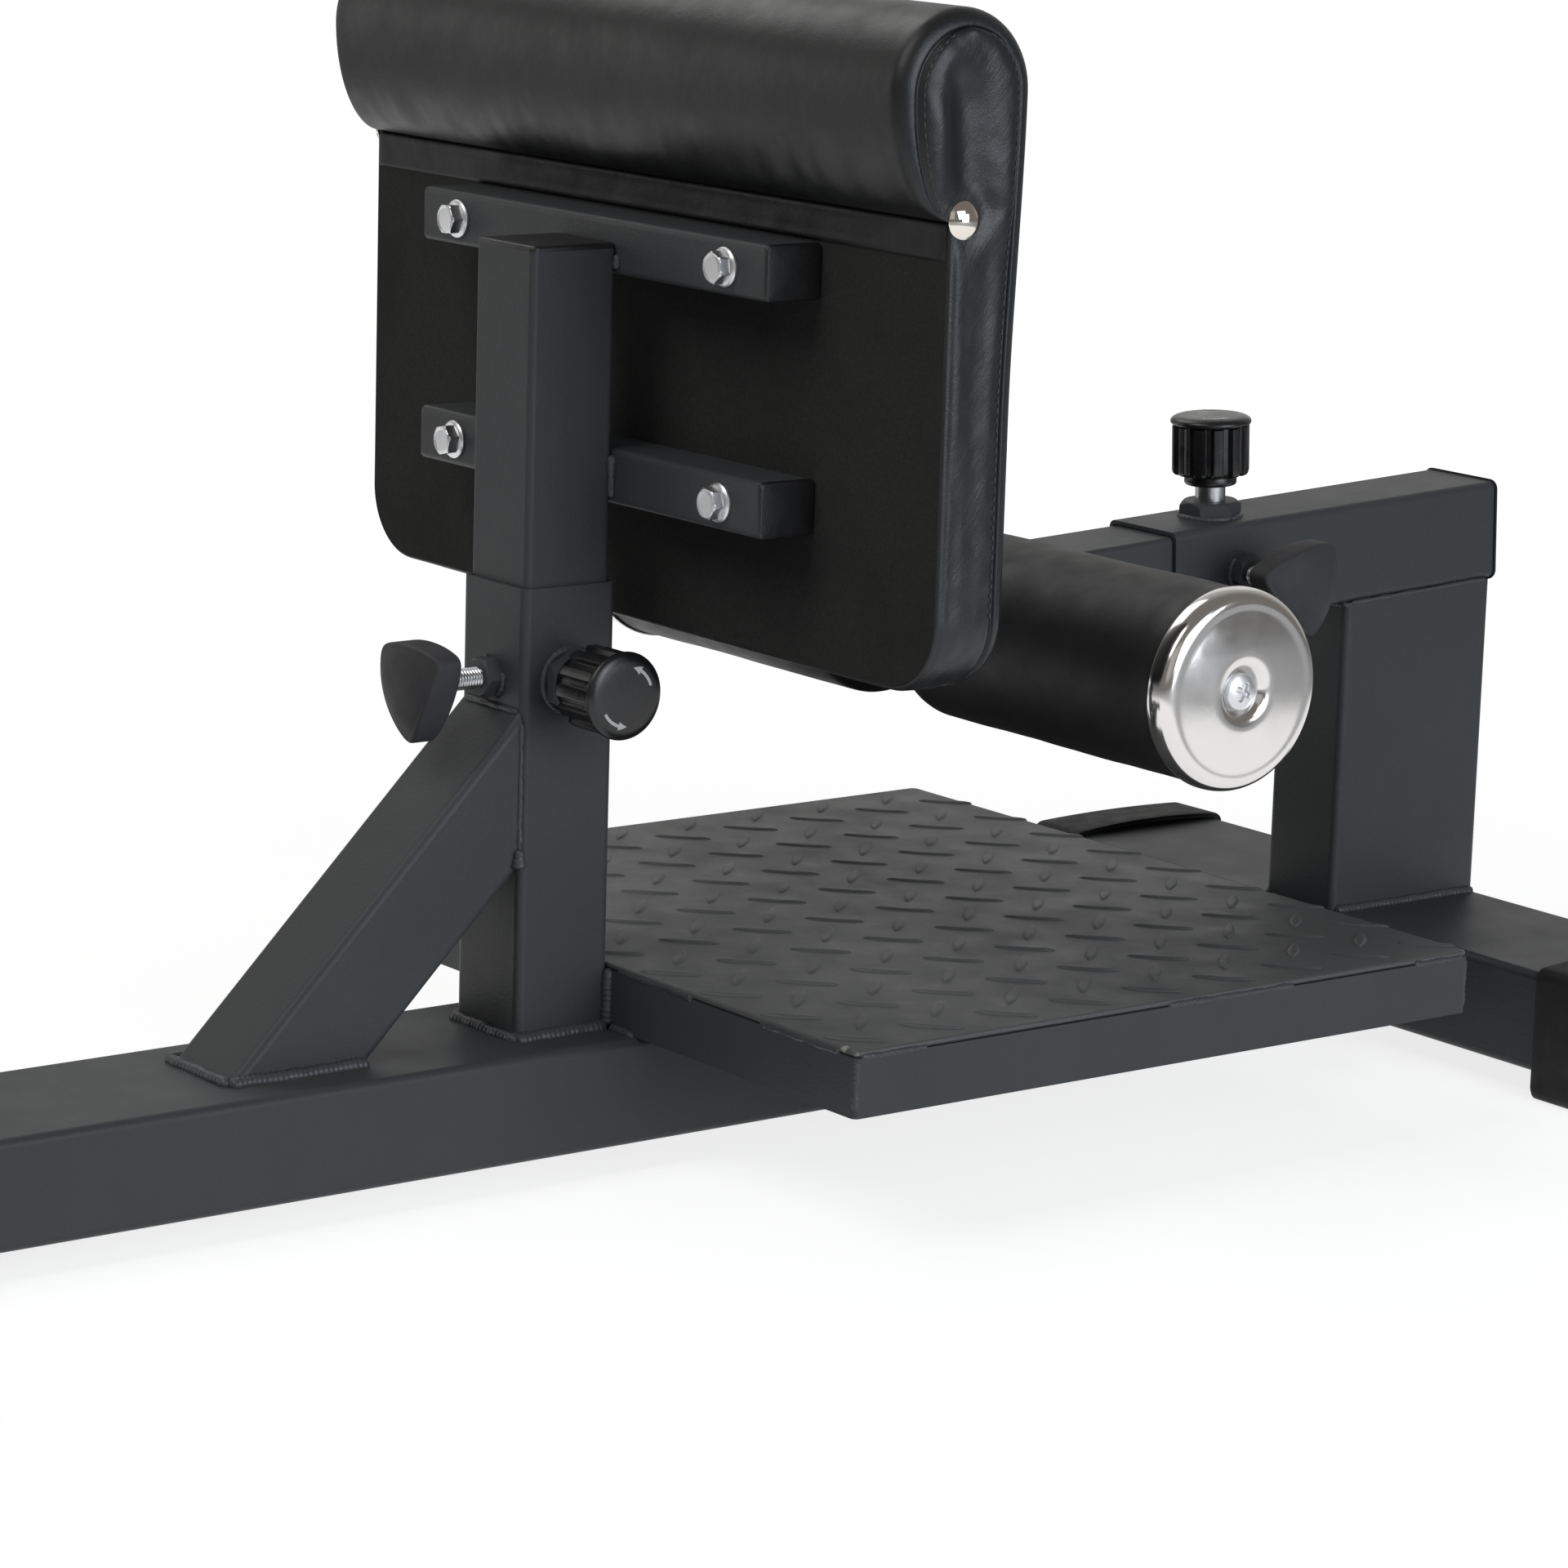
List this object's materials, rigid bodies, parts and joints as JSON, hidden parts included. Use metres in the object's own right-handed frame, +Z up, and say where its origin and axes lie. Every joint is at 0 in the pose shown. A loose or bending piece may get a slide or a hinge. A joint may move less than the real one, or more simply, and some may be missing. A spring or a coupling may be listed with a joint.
{
  "type": "sissy squat bench",
  "caption": "Floor-standing squat bench with a tread plate, a height-adjustable padded calf rest and foam ankle rollers on an adjustable arm.",
  "frame": {"origin": "on the floor, in the middle of the footprint", "axes": "+X across the bench, +Y along the base from the calf pad to the ankle rollers, +Z up"},
  "size_m": [0.4546, 1.1065, 0.5395],
  "materials": {
    "powder_coat": "satin charcoal powder coat with a fine orange-peel texture",
    "tread_coat": "satin charcoal powder coat over a raised tread pattern",
    "foot_rubber": "moulded black rubber, matt",
    "black_plastic": "moulded black plastic",
    "board": "plywood faced with black non-woven cloth",
    "vinyl": "semi-gloss black vinyl with a fine leather grain",
    "vinyl_band": "band of the same black vinyl",
    "zinc": "zinc-plated steel",
    "chrome": "bright chrome plate",
    "roller_foam": "closed-cell black foam, matt",
    "knob_plastic": "glossy moulded black plastic",
    "clamp_rubber": "soft charcoal plastic"
  },
  "bodies": {
    "root": {"base_beam": "powder_coat", "front_cross_tube": "powder_coat", "tail_cross_tube": "powder_coat", "front_foot_left": "foot_rubber", "front_foot_right": "foot_rubber", "tail_foot_left": "foot_rubber", "tail_foot_right": "foot_rubber", "outer_post": "powder_coat", "brace": "powder_coat", "plate_rim": "powder_coat", "plate_ribs": "powder_coat", "tread_plate": "tread_coat", "front_upright": "powder_coat", "arm_sleeve": "powder_coat", "sleeve_end_cap": "black_plastic", "post_pin_boss": "powder_coat", "sleeve_pin_boss": "powder_coat", "post_clamp_nut": "powder_coat", "sleeve_clamp_nut": "powder_coat"},
    "pad": {"inner_post": "powder_coat", "inner_post_cap": "black_plastic", "upper_bracket": "powder_coat", "lower_bracket": "powder_coat", "bracket_end_caps": "black_plastic", "pad_board": "board", "pad_cushion": "vinyl", "cover_strip": "vinyl_band", "pad_bolts": "zinc", "tee_nuts": "zinc", "side_studs": "chrome"},
    "arm": {"arm_tube": "powder_coat", "arm_end_cap": "black_plastic", "axle_tube": "zinc", "axle_plugs": "zinc", "roller_washers": "zinc", "roller_cap_left": "chrome", "roller_cap_right": "chrome", "cap_screws": "zinc"},
    "roller_left": {"foam_roller_left": "roller_foam", "roller_liner_left": "black_plastic"},
    "roller_right": {"foam_roller_right": "roller_foam", "roller_liner_right": "black_plastic"},
    "post_pin_barrel": {"post_pin_barrel": "chrome", "post_pin_spring": "zinc"},
    "post_pin": {"post_pin": "chrome"},
    "post_pin_knob": {"post_pin_knob": "knob_plastic", "post_pin_cap": "knob_plastic"},
    "sleeve_pin_barrel": {"sleeve_pin_barrel": "chrome", "sleeve_pin_spring": "zinc"},
    "sleeve_pin": {"sleeve_pin": "chrome"},
    "sleeve_pin_knob": {"sleeve_pin_knob": "knob_plastic", "sleeve_pin_cap": "knob_plastic"},
    "post_clamp_screw": {"post_clamp_screw": "zinc"},
    "post_clamp_knob": {"post_clamp_knob": "clamp_rubber"},
    "sleeve_clamp_screw": {"sleeve_clamp_screw": "zinc"},
    "sleeve_clamp_knob": {"sleeve_clamp_knob": "clamp_rubber"}
  },
  "joints": [
    {"name": "pad_height", "type": "slide", "parent": "root", "child": "pad", "axis": [0, 0, 1], "range_m": [0, 0.12]},
    {"name": "arm_reach", "type": "slide", "parent": "root", "child": "arm", "axis": [0, 0.9988, 0.0489], "range_m": [-0.05, 0.025]},
    {"name": "roller_left_spin", "type": "hinge", "parent": "arm", "child": "roller_left", "pos_m": [0, 0.20016, 0.23491], "axis": [1, 0, 0], "continuous": true},
    {"name": "roller_right_spin", "type": "hinge", "parent": "arm", "child": "roller_right", "pos_m": [0, 0.20016, 0.23491], "axis": [1, 0, 0], "continuous": true},
    {"name": "post_pin_advance", "type": "slide", "parent": "root", "child": "post_pin_barrel", "axis": [1, 0, 0], "range_m": [-0.00101, 0.00301]},
    {"name": "post_pin_pull", "type": "slide", "parent": "post_pin_barrel", "child": "post_pin", "axis": [1, 0, 0], "range_m": [0, 0.008], "stiffness_N_per_m": 800, "springref_m": -0.005, "deforming": ["post_pin_spring"]},
    {"name": "post_pin_turn", "type": "hinge", "parent": "post_pin", "child": "post_pin_knob", "pos_m": [0.05, -0.025, 0.227], "axis": [1, 0, 0], "range_deg": [-240, 720]},
    {"name": "sleeve_pin_advance", "type": "slide", "parent": "root", "child": "sleeve_pin_barrel", "axis": [0, -0.0489, 0.9988], "range_m": [-0.00701, 0.00151]},
    {"name": "sleeve_pin_pull", "type": "slide", "parent": "sleeve_pin_barrel", "child": "sleeve_pin", "axis": [0, -0.0489, 0.9988], "range_m": [0, 0.008], "stiffness_N_per_m": 800, "springref_m": -0.005, "deforming": ["sleeve_pin_spring"]},
    {"name": "sleeve_pin_turn", "type": "hinge", "parent": "sleeve_pin", "child": "sleeve_pin_knob", "pos_m": [0, 0.37602, 0.30358], "axis": [0, -0.0489, 0.9988], "range_deg": [-1680, 360]},
    {"name": "post_clamp_advance", "type": "slide", "parent": "root", "child": "post_clamp_screw", "axis": [0, -1, 0], "range_m": [-0.00081, 0.00301]},
    {"name": "post_clamp_turn", "type": "hinge", "parent": "post_clamp_screw", "child": "post_clamp_knob", "pos_m": [0, -0.09, 0.227], "axis": [0, -1, 0], "range_deg": [-192, 720]},
    {"name": "sleeve_clamp_advance", "type": "slide", "parent": "root", "child": "sleeve_clamp_screw", "axis": [1, 0, 0], "range_m": [-0.00081, 0.00301]},
    {"name": "sleeve_clamp_turn", "type": "hinge", "parent": "sleeve_clamp_screw", "child": "sleeve_clamp_knob", "pos_m": [0.065, 0.37895, 0.24365], "axis": [1, 0, 0], "range_deg": [-192, 720]}
  ],
  "couplings": [
    {"joint": "post_pin_advance", "follows": "post_pin_turn", "m_per_rad": 0.00023873},
    {"joint": "sleeve_pin_advance", "follows": "sleeve_pin_turn", "m_per_rad": 0.00023873},
    {"joint": "post_clamp_advance", "follows": "post_clamp_turn", "m_per_rad": 0.00023873},
    {"joint": "sleeve_clamp_advance", "follows": "sleeve_clamp_turn", "m_per_rad": 0.00023873}
  ]
}
